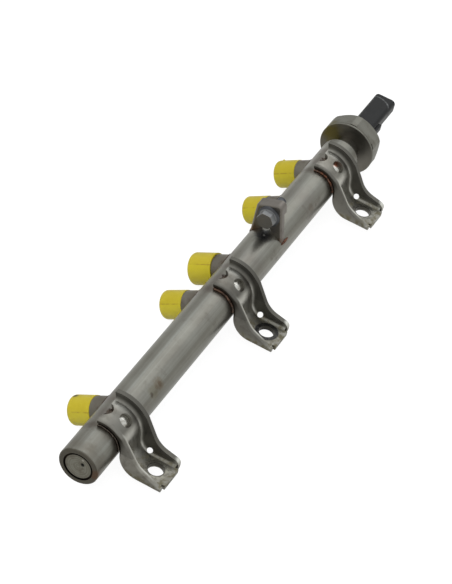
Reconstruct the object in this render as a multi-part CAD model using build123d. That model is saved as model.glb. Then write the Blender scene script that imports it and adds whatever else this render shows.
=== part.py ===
"""Brazed steel fuel rail with three saddle brackets, five capped pipe fittings and a pressure sensor.

Millimetres. Every piece is modelled on the rail tube: the tube's axis is X, its plugged end face
is x = 0 and the bracket feet point to -Z. At the end each piece is moved so that the origin lies
at the middle bracket's bolt hole, on the mounting face, with +X towards the sensor and +Z away
from the mounting face.
"""
from build123d import *
import math
import os

# Rail tube
tube_radius = 12.5
bore_radius = 9.3
tube_chamfer = 0.8
braze_gap = 0.05

# End plug
plug_length = 12.0
plug_recess = 0.3
plug_face_radius = 8.2
plug_step = 1.4
dimple_radius = 0.9
dimple_y = -2.4
dimple_z = 2.9

# Brackets: the middle one's step past the second outlet, the pitch's surplus over the outlets',
# the mounting face and the bolt holes
middle_bracket_step = 11.4
bracket_margin = 28.7
axis_height = 14.4
foot_reach = 32.4
foot_hole_radius = 4.75
bolt_seat_margin = 1.6

# Bracket sheet and its side outline: shoulders out from the tube's axis and up from it, hollows in
# from the bolt hole and up from the mounting face
sheet = 3.0
bracket_width = 24.5
saddle_start = 76.0
foot_bend_radius = 10.0
leg_share = 0.97
foot_margin = 10.4
flange_setback = 1.1
near_rim = 0.7
far_rim = 4.6
near_shoulder_out = 13.8
near_shoulder_up = 10.6
near_hollow_in = 6.8
near_hollow_up = 9.6
near_tip_up = 2.2
far_shoulder_out = 17.0
far_shoulder_up = 11.6
far_hollow_in = 5.5
far_hollow_up = 10.0
far_tip_up = 6.4
shoulder_radius = 6.0
hollow_radius = 14.0
near_tip_radius = 0.3
far_tip_radius = 3.4
inner_bend_radius = 2.2
outer_bend_radius = 2.0
rim_rounding = 1.0
saddle_hole_radius = 4.2
saddle_hole_angle = 123.0
notch_radius = 5.2
notch_depth = 3.7
notch_offset = -1.0
relief_radius = 1.8
relief_offset = 0.75
relief_turn = 19.0
tip_slit = 1.4
tip_slit_depth = 2.2

# Pipe fittings and their caps: each step is from one fitting to the next, the last to the tube's end
first_outlet_x = 52.5
outlet_pitch = 110.1
inlet_step = 38.5
link_step = 45.1
tube_end_step = 22.2
outlet_angle = -32.0
inlet_angle = -29.7
outlet_collar_radius = 8.65
outlet_shoulder = 18.6
outlet_spigot_radius = 7.0
inlet_collar_radius = 9.3
inlet_shoulder = 18.1
inlet_spigot_radius = 8.0
spigot_reach = 12.4
pilot_radius = 5.0
pilot_margin = 0.2
port_radius = 3.5
seat_mouth_radius = 5.2
seat_angle = 60.0
cap_fit = 0.15
cap_end_wall = 2.0
outlet_cap_radius = 9.05
outlet_cap_end = 34.8
inlet_cap_radius = 10.25
inlet_cap_end = 35.1
cap_chamfer = 1.0
cap_dish_depth = 0.6
cap_dish_rim = 2.2

# Pressure sensor housing
sensor_thread_length = 11.0
sensor_nose_length = 3.0
sensor_nose_radius = 6.0
neck_radius = 8.6
flange_gap = 8.7
flange_radius = 18.85
flange_thickness = 1.4
flange_chamfer = 0.4
hex_groove = 0.6
hex_groove_depth = 0.9
hex_across_flats = 34.4
hex_length = 12.2
hex_chamfer = 1.6
hex_corner_turn = 30.0
crimp_radius = 12.2
crimp_length = 3.6
crimp_lip = 1.2
cavity_radius = 10.4
cavity_floor = 3.2
pressure_port_radius = 1.6

# Pressure cell inside the housing
cell_radius = 5.0
cell_height = 4.0
cell_wall = 1.2
membrane = 0.5

# Sensor connector, its pins and its seal
connector_fit = 0.1
connector_length = 43.5
connector_width = 14.8
connector_height = 10.6
connector_corner = 3.0
base_length = 3.6
connector_throat_radius = 9.4
mouth_chamfer = 0.4
socket_wall = 1.7
socket_depth = 17.0
lug_start = 5.0
lug_length = 13.0
lug_width = 4.4
lug_height = 1.8
pin_count = 3
pin_pitch = 3.0
pin_width = 1.2
pin_thickness = 0.6
pin_reach = 9.0
pin_root = 6.0
pin_fit = 0.02
pin_chamfer = 0.15
seal_place = 0.8
seal_width = 1.8
seal_depth = 1.6
seal_fit = 0.02

# Bolt holder on top of the tube, a step past the inlet
holder_step = 27.7
holder_sheet = 2.5
holder_left = 11.6
holder_left_top = 28.8
holder_right = 4.4
holder_right_top = 35.0
holder_lean = 0.215
holder_rounding = 3.0
holder_edge_rounding = 1.6
holder_depth = 7.0
holder_side_depth = 4.0
holder_lug_height = 8.0
holder_arch_radius = 3.6

# Holder bolt and its weld nut
bolt_y = 1.8
bolt_z = 24.0
bolt_radius = 3.0
bolt_clearance = 0.3
bolt_length = 18.0
bolt_flange_radius = 7.1
bolt_flange_edge = 1.1
bolt_head_height = 6.6
bolt_across_flats = 10.0
bolt_head_chamfer = 0.5
nut_fit = 0.05
nut_height = 5.0
nut_across_flats = 10.0
nut_corner_turn = 30.0

# Sizes that follow from the ones above
second_outlet_x = first_outlet_x + outlet_pitch
third_outlet_x = second_outlet_x + outlet_pitch
inlet_x = second_outlet_x + inlet_step
link_x = third_outlet_x + link_step
tube_length = link_x + tube_end_step
bracket_pitch = outlet_pitch + bracket_margin
middle_bracket_x = second_outlet_x + middle_bracket_step
holder_front_x = inlet_x + holder_step
saddle_radius = tube_radius + braze_gap
web_radius = saddle_radius + sheet
bolt_seat_radius = foot_hole_radius + bolt_seat_margin
foot_bend_y = bolt_seat_radius - foot_reach
tangent_square = axis_height**2 + foot_bend_y**2 - saddle_radius**2
tangent_limit = tangent_square / (2 * (axis_height + saddle_radius))
outer_foot_bend = min(foot_bend_radius + sheet, leg_share * tangent_limit)
inner_foot_bend = outer_foot_bend - sheet
foot_bend_z = outer_foot_bend - axis_height
foot_end = foot_reach + foot_margin
flange_end = foot_end - flange_setback
flange_front_x = tube_length + flange_gap
hex_start_x = flange_front_x + flange_thickness + hex_groove
hex_end_x = hex_start_x + hex_length
cavity_x = hex_start_x + cavity_floor
crimp_end_x = hex_end_x + crimp_length
connector_start_x = crimp_end_x - crimp_lip - base_length
connector_end_x = crimp_end_x + connector_length
seal_start_x = connector_start_x + seal_place
seal_groove_radius = cavity_radius - seal_depth
socket_floor_x = connector_end_x - socket_depth
same_place = 0.01
bracket_names = ("front", "middle", "rear")
outlet_names = ("first", "second", "third")


def bar(radius, length):
    """Round bar that stands on the XY plane."""
    return Cylinder(radius, length, align=(Align.CENTER, Align.CENTER, Align.MIN))


def rod(radius, start, end):
    """Round bar on the tube's axis between two places along X."""
    return Pos(start, 0, 0) * Rot(0, 90, 0) * bar(radius, end - start)


def turned(points):
    """Body turned about the tube's axis from (x, radius) points."""
    return revolve(make_face(Polyline(*points, close=True)), axis=Axis.X)


def cross_plane(x):
    """Section plane of the tube at x, with its own x along +Y and its own y along +Z."""
    return Plane(origin=(x, 0, 0), x_dir=(0, 1, 0), z_dir=(1, 0, 0))


def port_plane(x, angle):
    """Plane on the tube's axis whose normal is a fitting's axis, turned by angle from +Y."""
    turn = math.radians(angle)
    return Plane(origin=(x, 0, 0), x_dir=(1, 0, 0), z_dir=(0, math.cos(turn), math.sin(turn)))


def ports():
    """Name, place, angle and sizes of each pipe fitting along the tube."""
    small = (outlet_angle, outlet_collar_radius, outlet_shoulder, outlet_spigot_radius)
    small_cap = (outlet_cap_radius, outlet_cap_end)
    large = (inlet_angle, inlet_collar_radius, inlet_shoulder, inlet_spigot_radius)
    large_cap = (inlet_cap_radius, inlet_cap_end)
    rows = []
    for number, name in enumerate(outlet_names):
        rows.append(("outlet_" + name, first_outlet_x + number * outlet_pitch, *small, *small_cap))
    rows.append(("inlet", inlet_x, *large, *large_cap))
    rows.append(("link", link_x, *small, *small_cap))
    return rows


def bracket_places():
    """Name and centre of each bracket along the tube."""
    start = middle_bracket_x - bracket_pitch
    return [(name, start + number * bracket_pitch) for number, name in enumerate(bracket_names)]


def make_tube():
    """Drawn tube, chamfered at both ends, with one cross drilling at each fitting."""
    tube = rod(tube_radius, 0, tube_length)
    tube = chamfer(tube.edges().filter_by(GeomType.CIRCLE), tube_chamfer)
    tube -= rod(bore_radius, 0, tube_length)
    for port in ports():
        tube -= port_plane(port[1], port[2]).location * bar(pilot_radius + braze_gap, 2 * tube_radius)
    return tube


def make_plug():
    """Turned plug that closes the bore, with a stepped face and a centre-punched dimple."""
    body_radius = bore_radius - braze_gap
    points = [
        (plug_recess, 0),
        (plug_recess, plug_face_radius),
        (plug_recess + plug_step, plug_face_radius),
        (plug_recess + plug_step, body_radius),
        (plug_recess + plug_length, body_radius),
        (plug_recess + plug_length, 0),
    ]
    plug = turned(points)
    dimple = Cone(dimple_radius, 0, dimple_radius, align=(Align.CENTER, Align.CENTER, Align.MIN))
    return plug - Pos(plug_recess, dimple_y, dimple_z) * Rot(0, 90, 0) * dimple


def side_path(saddle, foot_bend, end):
    """Side outline of one sheet surface: saddle arc, leg, foot bend and foot, out to y = -end."""
    reach = saddle_radius + outer_foot_bend
    span = math.hypot(foot_bend_y, foot_bend_z)
    leave = math.atan2(foot_bend_z, foot_bend_y) % math.tau - math.acos(reach / span)
    cos_leave = math.cos(leave)
    sin_leave = math.sin(leave)
    start = math.radians(saddle_start)
    middle = (start + leave) / 2
    begin = (saddle * math.cos(start), saddle * math.sin(start))
    crown = (saddle * math.cos(middle), saddle * math.sin(middle))
    leave_point = (saddle * cos_leave, saddle * sin_leave)
    meet = (foot_bend_y - foot_bend * cos_leave, foot_bend_z - foot_bend * sin_leave)
    bottom = (foot_bend_y, foot_bend_z - foot_bend)
    half = (leave - math.pi - math.pi / 2) / 2
    waist = (foot_bend_y + foot_bend * math.cos(half), foot_bend_z + foot_bend * math.sin(half))
    tip = (-end, foot_bend_z - foot_bend)
    return [
        ThreePointArc(begin, crown, leave_point),
        Line(leave_point, meet),
        ThreePointArc(meet, waist, bottom),
        Line(bottom, tip),
    ]


def web_face():
    """Side section of the bracket's web: the sheet between its under and upper surfaces."""
    under = side_path(saddle_radius, outer_foot_bend, foot_end)
    upper = side_path(web_radius, inner_foot_bend, foot_end)
    ends = [Line(under[0] @ 0, upper[0] @ 0), Line(under[-1] @ 1, upper[-1] @ 1)]
    return make_face([*under, *upper, *ends])


def free_edge(rim, shoulder, hollow, tip_up, tip_radius):
    """Free edge of one flange in the side view: saddle arc, shoulder, hollow, tip and end."""
    rim_radius = web_radius + rim
    start = math.radians(saddle_start)
    reach = math.hypot(*shoulder)
    leave = math.atan2(shoulder[1], -shoulder[0]) - math.acos(rim_radius / reach)
    middle = (start + leave) / 2
    places = [(rim_radius * math.cos(turn), rim_radius * math.sin(turn)) for turn in (start, middle, leave)]
    valley = (hollow[0] - foot_reach, hollow[1] - axis_height)
    tip = (-flange_end, tip_up - axis_height)
    corners = [places[2], (-shoulder[0], shoulder[1]), valley, tip, (-flange_end, -axis_height)]
    edge = FilletPolyline(*corners, radius=[shoulder_radius, hollow_radius, tip_radius])
    return [ThreePointArc(*places), *edge.edges()]


def flange_face(edge):
    """Side outline of one upturned flange, from the web's underside to the free edge."""
    under = side_path(saddle_radius, outer_foot_bend, flange_end)
    return make_face([*under, Line(under[0] @ 0, edge[0] @ 0), *edge])


def edges_along(body, path, x):
    """Edges of a bracket that lie on one line of its side view at x."""
    wire = Pos(x, 0, 0) * cross_plane(0).location * Wire(path)
    near = []
    for edge in body.edges():
        if max(wire.distance_to(edge @ part) for part in (0, 0.5, 1)) < same_place:
            near.append(edge)
    return near


def bracket_cuts():
    """Holes, end notch and tip slits of a bracket, as solids to take away."""
    half = bracket_width / 2
    deep = 2 * tube_radius
    hole_turn = saddle_hole_angle - 90
    saddle_hole = Rot(hole_turn, 0, 0) * bar(saddle_hole_radius, deep)
    beyond = math.degrees((notch_radius - notch_depth) / web_radius)
    notch = Pos(notch_offset, 0, 0) * Rot(saddle_start - beyond - 90, 0, 0) * bar(notch_radius, deep)
    foot_hole = Pos(0, -foot_reach, -axis_height) * Cylinder(foot_hole_radius, deep)
    turn = math.radians(relief_turn)
    corner_x = half - sheet + relief_offset
    corner_y = foot_bend_y + inner_foot_bend * math.sin(turn)
    corner_z = foot_bend_z - inner_foot_bend * math.cos(turn)
    normal = (1, math.sin(turn), -math.cos(turn))
    relief = Plane(origin=(corner_x, corner_y, corner_z), z_dir=normal).location
    relief = relief * Cylinder(relief_radius, 4 * sheet)
    cuts = [saddle_hole, notch, foot_hole, relief]
    for side in (-1, 1):
        slit = Box(tip_slit, 2 * tip_slit_depth, deep)
        cuts.append(Pos(side * (half - sheet - tip_slit / 2), -foot_end, -axis_height) * slit)
        corner_cut = Box(sheet, 2 * (foot_end - flange_end), deep)
        cuts.append(Pos(side * (half - sheet / 2), -foot_end, -axis_height) * corner_cut)
    return cuts


def make_bracket():
    """Stamped channel bracket: saddle on the tube, leg, foot, and a flange along each side."""
    half = bracket_width / 2
    near_shoulder = (near_shoulder_out, near_shoulder_up)
    near_hollow = (near_hollow_in, near_hollow_up)
    near_edge = free_edge(near_rim, near_shoulder, near_hollow, near_tip_up, near_tip_radius)
    far_shoulder = (far_shoulder_out, far_shoulder_up)
    far_hollow = (far_hollow_in, far_hollow_up)
    far_edge = free_edge(far_rim, far_shoulder, far_hollow, far_tip_up, far_tip_radius)
    near_flange = extrude(cross_plane(-half).location * flange_face(near_edge), sheet)
    near_flange = fillet(edges_along(near_flange, near_edge[:-1], -half), rim_rounding)
    far_flange = extrude(cross_plane(half - sheet).location * flange_face(far_edge), sheet)
    web = extrude(cross_plane(-half).location * web_face(), bracket_width)
    body = web + near_flange + far_flange
    under = side_path(saddle_radius, outer_foot_bend, foot_end)
    upper = side_path(web_radius, inner_foot_bend, foot_end)
    body = fillet(edges_along(body, upper, half - sheet), inner_bend_radius)
    body = fillet(edges_along(body, under, half), outer_bend_radius)
    body = fillet(edges_along(body, under, -half), outer_bend_radius)
    for cut in bracket_cuts():
        body -= cut
    return body


def make_fitting(port):
    """Brazed pipe fitting: coped collar, pilot in the tube's drilling, spigot and sealing cone."""
    place = port_plane(port[1], port[2]).location
    collar_radius, shoulder, spigot_radius = port[3:6]
    tip = shoulder + spigot_reach
    pilot_start = bore_radius + pilot_margin
    body = place * bar(collar_radius, shoulder) - rod(tube_radius + braze_gap, 0, tube_length)
    body += place * Pos(0, 0, pilot_start) * bar(pilot_radius, shoulder - pilot_start)
    body += place * Pos(0, 0, shoulder) * bar(spigot_radius, spigot_reach)
    seat_depth = seat_mouth_radius / math.tan(math.radians(seat_angle / 2))
    seat = Cone(0, seat_mouth_radius, seat_depth, align=(Align.CENTER, Align.CENTER, Align.MAX))
    body -= place * bar(port_radius, tip)
    return body - place * Pos(0, 0, tip) * seat


def make_cap(port):
    """Moulded plastic cap that slips over a fitting's spigot, with a shallow dish in its end."""
    shoulder, spigot_radius, cap_radius, cap_end = port[4:]
    length = cap_end - shoulder
    body = bar(cap_radius, length)
    body = chamfer(body.edges().group_by(Axis.Z)[-1], cap_chamfer)
    body -= bar(spigot_radius + cap_fit, length - cap_end_wall)
    body -= Pos(0, 0, length - cap_dish_depth) * bar(cap_radius - cap_dish_rim, cap_end_wall)
    return port_plane(port[1], port[2]).location * Pos(0, 0, shoulder) * body


def hex_bar(across_flats, start, length, corner_turn):
    """Hexagonal bar on the tube's axis, with a corner turned from +Y by corner_turn degrees."""
    outline = RegularPolygon(across_flats / 2, 6, major_radius=False, rotation=corner_turn)
    return extrude(cross_plane(start).location * outline, length)


def make_sensor_housing():
    """Sensor body: thread and nose in the tube, sealing flange, hexagon and crimped rear collar."""
    thread = bore_radius - braze_gap
    thread_start = tube_length - sensor_thread_length
    nose_start = thread_start - sensor_nose_length
    points = [
        (nose_start, 0),
        (nose_start, sensor_nose_radius),
        (thread_start, thread),
        (tube_length, thread),
        (tube_length, neck_radius),
        (flange_front_x, neck_radius),
        (flange_front_x, flange_radius - flange_chamfer),
        (flange_front_x + flange_chamfer, flange_radius),
        (flange_front_x + flange_thickness, flange_radius),
        (flange_front_x + flange_thickness, flange_radius - hex_groove_depth),
        (hex_start_x, flange_radius - hex_groove_depth),
        (hex_start_x, crimp_radius),
        (crimp_end_x, crimp_radius),
        (crimp_end_x, 0),
    ]
    body = turned(points)
    nut = hex_bar(hex_across_flats, hex_start_x, hex_length, hex_corner_turn)
    blank = rod(flange_radius, hex_start_x, hex_end_x)
    blank = chamfer(blank.edges().filter_by(GeomType.CIRCLE).group_by(Axis.X)[-1], hex_chamfer)
    body += nut & blank
    body -= rod(cavity_radius, cavity_x, crimp_end_x - crimp_lip)
    body -= rod(connector_throat_radius + connector_fit, cavity_x, crimp_end_x)
    return body - rod(pressure_port_radius, nose_start, cavity_x)


def make_sensor_cell():
    """Thin-topped steel cell over the pressure port, inside the housing."""
    top = cavity_x + cell_height
    cell = rod(cell_radius, cavity_x, top)
    return cell - rod(cell_radius - cell_wall, cavity_x, top - membrane)


def oblong(width, height, corner, start, length):
    """Bar with a rounded oblong section on the tube's axis, wide along Y."""
    outline = RectangleRounded(width, height, corner)
    return extrude(cross_plane(start).location * outline, length)


def make_pins():
    """Three flat contact pins that stand in the socket."""
    length = pin_root + pin_reach
    pins = []
    for number in range(pin_count):
        y = (number - (pin_count - 1) / 2) * pin_pitch
        pin = Box(length, pin_width, pin_thickness, align=(Align.MIN, Align.CENTER, Align.CENTER))
        pin = chamfer(pin.faces().sort_by(Axis.X)[-1].edges(), pin_chamfer)
        pins.append(Pos(socket_floor_x - pin_root, y, 0) * pin)
    return pins


def make_connector():
    """Moulded plug body: crimped base disc, round throat, oblong socket and a side lug."""
    throat_start = connector_start_x + base_length
    body = rod(cavity_radius - connector_fit, connector_start_x, throat_start - connector_fit)
    body += rod(connector_throat_radius, connector_start_x, crimp_end_x)
    shell = oblong(connector_width, connector_height, connector_corner, crimp_end_x, connector_length)
    mouth_edges = shell.faces().sort_by(Axis.X)[-1].edges()
    body += chamfer(mouth_edges, mouth_chamfer)
    socket_width = connector_width - 2 * socket_wall
    socket_height = connector_height - 2 * socket_wall
    socket_corner = connector_corner - socket_wall
    body -= oblong(socket_width, socket_height, socket_corner, socket_floor_x, socket_depth)
    lug_x = crimp_end_x + lug_start
    side = -connector_width / 2
    root = side + socket_wall / 2
    corners = [
        (lug_x, root),
        (lug_x, side - lug_height / 2),
        (lug_x + lug_length / 2, side - lug_height),
        (lug_x + lug_length, side - lug_height),
        (lug_x + lug_length, root),
    ]
    lug = make_face(Polyline(*corners, close=True))
    body += Pos(0, 0, -lug_width / 2) * extrude(lug, lug_width)
    for number in range(pin_count):
        y = (number - (pin_count - 1) / 2) * pin_pitch
        slot = Box(2 * pin_root, pin_width + 2 * pin_fit, pin_thickness + 2 * pin_fit)
        body -= Pos(socket_floor_x, y, 0) * slot
    groove_end_x = seal_start_x + seal_width
    groove = [
        (seal_start_x, seal_groove_radius),
        (seal_start_x, cavity_radius),
        (groove_end_x, cavity_radius),
        (groove_end_x, seal_groove_radius),
    ]
    return body - turned(groove)


def make_seal():
    """Rubber ring in the connector base's groove, against the housing's cavity."""
    inner = seal_groove_radius + seal_fit
    outer = cavity_radius - seal_fit
    start = seal_start_x + seal_fit
    end = seal_start_x + seal_width - seal_fit
    return turned([(start, inner), (start, outer), (end, outer), (end, inner)])


def holder_outline():
    """Front outline of the bolt holder, closed below inside the tube."""
    corners = [
        (holder_left, 0),
        (holder_left, holder_left_top),
        (-holder_right, holder_right_top),
        (-holder_right - holder_lean * holder_right_top, 0),
    ]
    face = make_face(Polyline(*corners, close=True))
    upper = face.vertices().sort_by(Axis.Y)[-2:]
    return fillet(upper, holder_rounding)


def make_holder():
    """Drawn sheet holder brazed on the tube: bored front plate with walls turned back."""
    place = cross_plane(holder_front_x).location
    outline = holder_outline()
    body = extrude(place * outline, holder_depth)
    front_rim = body.edges().group_by(Axis.X)[0]
    front_rim = [edge for edge in front_rim if (edge @ 0.5).Z > same_place]
    body = fillet(front_rim, holder_edge_rounding)
    inside = offset(outline, -holder_sheet, kind=Kind.INTERSECTION)
    hollow = extrude(place * inside, holder_depth)
    body -= Pos(holder_sheet, 0, 0) * hollow
    side_top = holder_right_top - holder_lug_height
    side = Box(holder_depth, 2 * tube_radius, side_top, align=(Align.MIN, Align.MAX, Align.MIN))
    body -= Pos(holder_front_x + holder_side_depth, 0, 0) * side
    body -= rod(tube_radius + braze_gap, 0, tube_length)
    back = holder_front_x + holder_sheet
    body -= Pos(0, bolt_y, tube_radius) * rod(holder_arch_radius, holder_front_x, back)
    return body - Pos(0, bolt_y, bolt_z) * rod(bolt_radius + bolt_clearance, holder_front_x, back)


def make_holder_bolt():
    """Hexagon bolt with a conical flange, its head in front of the holder."""
    face_x = holder_front_x
    head_top = face_x - bolt_head_height
    points = [
        (face_x, 0),
        (face_x, bolt_flange_radius),
        (face_x - bolt_flange_edge, bolt_flange_radius),
        (face_x - 2 * bolt_flange_edge, bolt_across_flats / 2),
        (face_x - 2 * bolt_flange_edge, 0),
    ]
    body = turned(points)
    blank = rod(bolt_across_flats / math.sqrt(3), head_top, face_x - bolt_flange_edge)
    blank = chamfer(blank.edges().filter_by(GeomType.CIRCLE).group_by(Axis.X)[0], bolt_head_chamfer)
    head = hex_bar(bolt_across_flats, head_top, bolt_head_height - bolt_flange_edge, 0)
    body += head & blank
    shank = rod(bolt_radius, face_x, face_x + bolt_length)
    shank = chamfer(shank.edges().filter_by(GeomType.CIRCLE).group_by(Axis.X)[-1], bolt_head_chamfer)
    return Pos(0, bolt_y, bolt_z) * (body + shank)


def make_weld_nut():
    """Hexagonal weld nut on the back of the holder's front plate."""
    start = holder_front_x + holder_sheet
    nut = hex_bar(nut_across_flats, start, nut_height, nut_corner_turn)
    nut -= rod(bolt_radius + nut_fit, start, start + nut_height)
    return Pos(0, bolt_y, bolt_z) * nut


def all_pieces():
    """Every piece under its node name, on the tube's axis."""
    pieces = {"rail_tube": make_tube(), "end_plug": make_plug()}
    bracket = make_bracket()
    for name, x in bracket_places():
        pieces["bracket_" + name] = Pos(x, 0, 0) * bracket
    for port in ports():
        pieces[port[0] + "_fitting"] = make_fitting(port)
        pieces[port[0] + "_cap"] = make_cap(port)
    pieces["sensor_housing"] = make_sensor_housing()
    pieces["sensor_cell"] = make_sensor_cell()
    pieces["sensor_connector"] = make_connector()
    pieces["connector_pins"] = Compound(children=make_pins())
    pieces["connector_seal"] = make_seal()
    pieces["bolt_holder"] = make_holder()
    pieces["holder_bolt"] = make_holder_bolt()
    pieces["holder_nut"] = make_weld_nut()
    return pieces


os.makedirs("parts", exist_ok=True)
to_mounting_frame = Pos(-middle_bracket_x, foot_reach, axis_height)
for node, piece in all_pieces().items():
    export_step(to_mounting_frame * piece, "parts/" + node + ".step")
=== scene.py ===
"""Finish of a brazed steel fuel rail: its metals, braze, caps and plastics, and a plain studio.

Metres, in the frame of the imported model: +X towards the sensor, +Z away from the mounting face.
"""
from math import cos, radians, sin

import bpy
import numpy as np
from bpy.props import FloatProperty, FloatVectorProperty, IntProperty, PointerProperty
from mathutils import Matrix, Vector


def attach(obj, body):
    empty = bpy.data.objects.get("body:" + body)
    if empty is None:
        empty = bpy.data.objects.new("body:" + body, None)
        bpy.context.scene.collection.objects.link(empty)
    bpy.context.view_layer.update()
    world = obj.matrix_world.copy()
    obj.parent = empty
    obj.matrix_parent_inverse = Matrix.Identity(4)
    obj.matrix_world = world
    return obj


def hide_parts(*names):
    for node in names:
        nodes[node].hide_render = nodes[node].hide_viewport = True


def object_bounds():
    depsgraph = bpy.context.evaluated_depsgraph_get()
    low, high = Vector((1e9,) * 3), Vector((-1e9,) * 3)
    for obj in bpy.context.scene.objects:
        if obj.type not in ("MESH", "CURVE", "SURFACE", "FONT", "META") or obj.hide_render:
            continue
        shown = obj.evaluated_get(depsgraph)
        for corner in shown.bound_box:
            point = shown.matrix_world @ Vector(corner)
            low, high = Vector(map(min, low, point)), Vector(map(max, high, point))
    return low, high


bl_info = {
    "name": "Fuel Rail Finish",
    "version": (1, 0, 0),
    "blender": (4, 5, 0),
    "location": "3D View > Sidebar > Fuel Rail",
    "description": "Dresses a packed fuel rail with its metals, braze, caps and plastics",
    "category": "Object",
}

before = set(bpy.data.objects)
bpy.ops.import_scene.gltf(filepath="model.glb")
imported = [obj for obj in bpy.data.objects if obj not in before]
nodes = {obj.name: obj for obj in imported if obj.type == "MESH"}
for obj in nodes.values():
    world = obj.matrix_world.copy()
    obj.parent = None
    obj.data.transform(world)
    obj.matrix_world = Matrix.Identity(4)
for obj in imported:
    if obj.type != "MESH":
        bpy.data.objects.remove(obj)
cad_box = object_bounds()

MM = 0.001
AXIS_Y = 32.4 * MM
AXIS_Z = 14.4 * MM
TUBE_AXIS = (0.0, AXIS_Y, AXIS_Z)
X_AXIS = np.array([1.0, 0.0, 0.0])
TUBE_RADIUS = 12.5 * MM
TUBE_FRONT = -174.0 * MM
BRACKETS = {"front": -138.8 * MM, "middle": 0.0, "rear": 138.8 * MM}
BRACKET_HALF = 12.25 * MM
# angles are in degrees from +Y towards +Z about the tube's axis, the offset is along X
SADDLE_HOLE_ANGLE = 123.0
NOTCH_TIP_ANGLE = 70.0
NOTCH_OFFSET = -1.0 * MM
FOOT_HOLE_HEIGHT = 3.0 * MM
SENSOR_FACE = 174.7 * MM
HOLDER_FACE = 55.0 * MM
BOLT_HEAD_BACK = 53.2 * MM
BOLT_HEAD_FACE = 48.7 * MM
# collar radius, cap radius, shoulder and cap's end along the fitting's axis, cap's bore radius
OUTLET = (8.65 * MM, 9.05 * MM, 18.6 * MM, 34.8 * MM, 7.15 * MM)
INLET = (9.3 * MM, 10.25 * MM, 18.1 * MM, 35.1 * MM, 8.15 * MM)
# place along X, turn of the fitting's axis from +Y, kind, and turn of the cap's parting line about
# the cap's axis from +X, both in degrees
FITTINGS = {
    "outlet_first": (-121.5 * MM, -32.0, OUTLET, 153.0),
    "outlet_second": (-11.4 * MM, -32.0, OUTLET, 145.0),
    "inlet": (27.1 * MM, -29.7, INLET, 132.0),
    "outlet_third": (98.7 * MM, -32.0, OUTLET, 140.0),
    "link": (143.8 * MM, -32.0, OUTLET, 148.0),
}
# dark marks on the caps: centre, radius and strength
CAP_MARKS = {"outlet_first": (((-119.8 * MM, 64.0 * MM, 5.2 * MM), 2.3 * MM, 0.95),)}
# height along the cap's axis and turn about it, in degrees, of the nub on the link's cap
NUB_HEIGHT = 31.0 * MM
NUB_TURN = 61.0
# each bracket's tone, contact ring (dark and light colour, share), share of the painted shade on
# the flanges, colour of its braze, if not that of the properties, and the braze's size
BRACKET_LOOKS = {
    "front": (1.18, ((0.10, 0.092, 0.075), (0.30, 0.29, 0.24), 0.55), 0.10,
              (0.115, 0.098, 0.080), 0.60),
    "middle": (0.88, ((0.018, 0.018, 0.020), (0.05, 0.05, 0.05), 0.92), 0.42,
               (0.130, 0.078, 0.056), 1.15),
    "rear": (1.42, ((0.07, 0.068, 0.060), (0.22, 0.215, 0.19), 0.60), 0.72, None, 1.15),
}
# place, width, depth, power, and whether the part mirrors it
LIGHTS = {
    "key": ((-0.75, 0.20, 1.25), 1.0, 0.8, 16.0, False),
    "band": ((1.05, 0.12, 1.05), 1.0, 0.35, 1.3, True),
    "side": ((-1.0, -0.8, 0.75), 0.9, 0.9, 4.5, False),
    "back": ((0.5, 0.9, 1.1), 1.0, 1.0, 4.0, False),
}
LIGHT_AIM = (0.0, 0.03, 0.0)
FLOOR_DROP = 0.4 * MM
FLOOR_REACH = 30.0
CAMERA_PLACE = (-0.9918693005, -0.2842057271, 0.9667451858)
CAMERA_TURN = ((0.45747776, 0.54325037, -0.70398376),
               (-0.86882635, 0.44166033, -0.22377874),
               (0.18935382, 0.71401343, 0.67404002))
CAMERA_LENS = 144.87483755


# Sizes and colours that a user would change


class RailColours(bpy.types.PropertyGroup):
    """Base colours of the rail's finishes."""

    steel: FloatVectorProperty(
        name="Drawn steel", description="Base colour of the tube", subtype="COLOR",
        size=3, min=0.0, max=1.0, default=(0.235, 0.232, 0.205))
    stamped: FloatVectorProperty(
        name="Stamped steel", description="Base colour of the brackets", subtype="COLOR",
        size=3, min=0.0, max=1.0, default=(0.225, 0.218, 0.195))
    heated: FloatVectorProperty(
        name="Heated steel", description="Purple-brown that brazing leaves", subtype="COLOR",
        size=3, min=0.0, max=1.0, default=(0.16, 0.135, 0.125))
    braze: FloatVectorProperty(
        name="Copper braze", description="Colour of the braze in the seams", subtype="COLOR",
        size=3, min=0.0, max=1.0, default=(0.155, 0.068, 0.042))
    stain: FloatVectorProperty(
        name="Rust stain", description="Brown of the stains beside the brackets", subtype="COLOR",
        size=3, min=0.0, max=1.0, default=(0.105, 0.066, 0.036))
    cap: FloatVectorProperty(
        name="Yellow cap", description="Colour of the moulded caps", subtype="COLOR",
        size=3, min=0.0, max=1.0, default=(0.44, 0.37, 0.016))
    plastic: FloatVectorProperty(
        name="Black plastic", description="Colour of the sensor's plug body", subtype="COLOR",
        size=3, min=0.0, max=1.0, default=(0.009, 0.0095, 0.010))
    floor: FloatVectorProperty(
        name="Floor", description="Colour of the studio floor", subtype="COLOR",
        size=3, min=0.0, max=1.0, default=(0.80, 0.80, 0.80))


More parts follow.
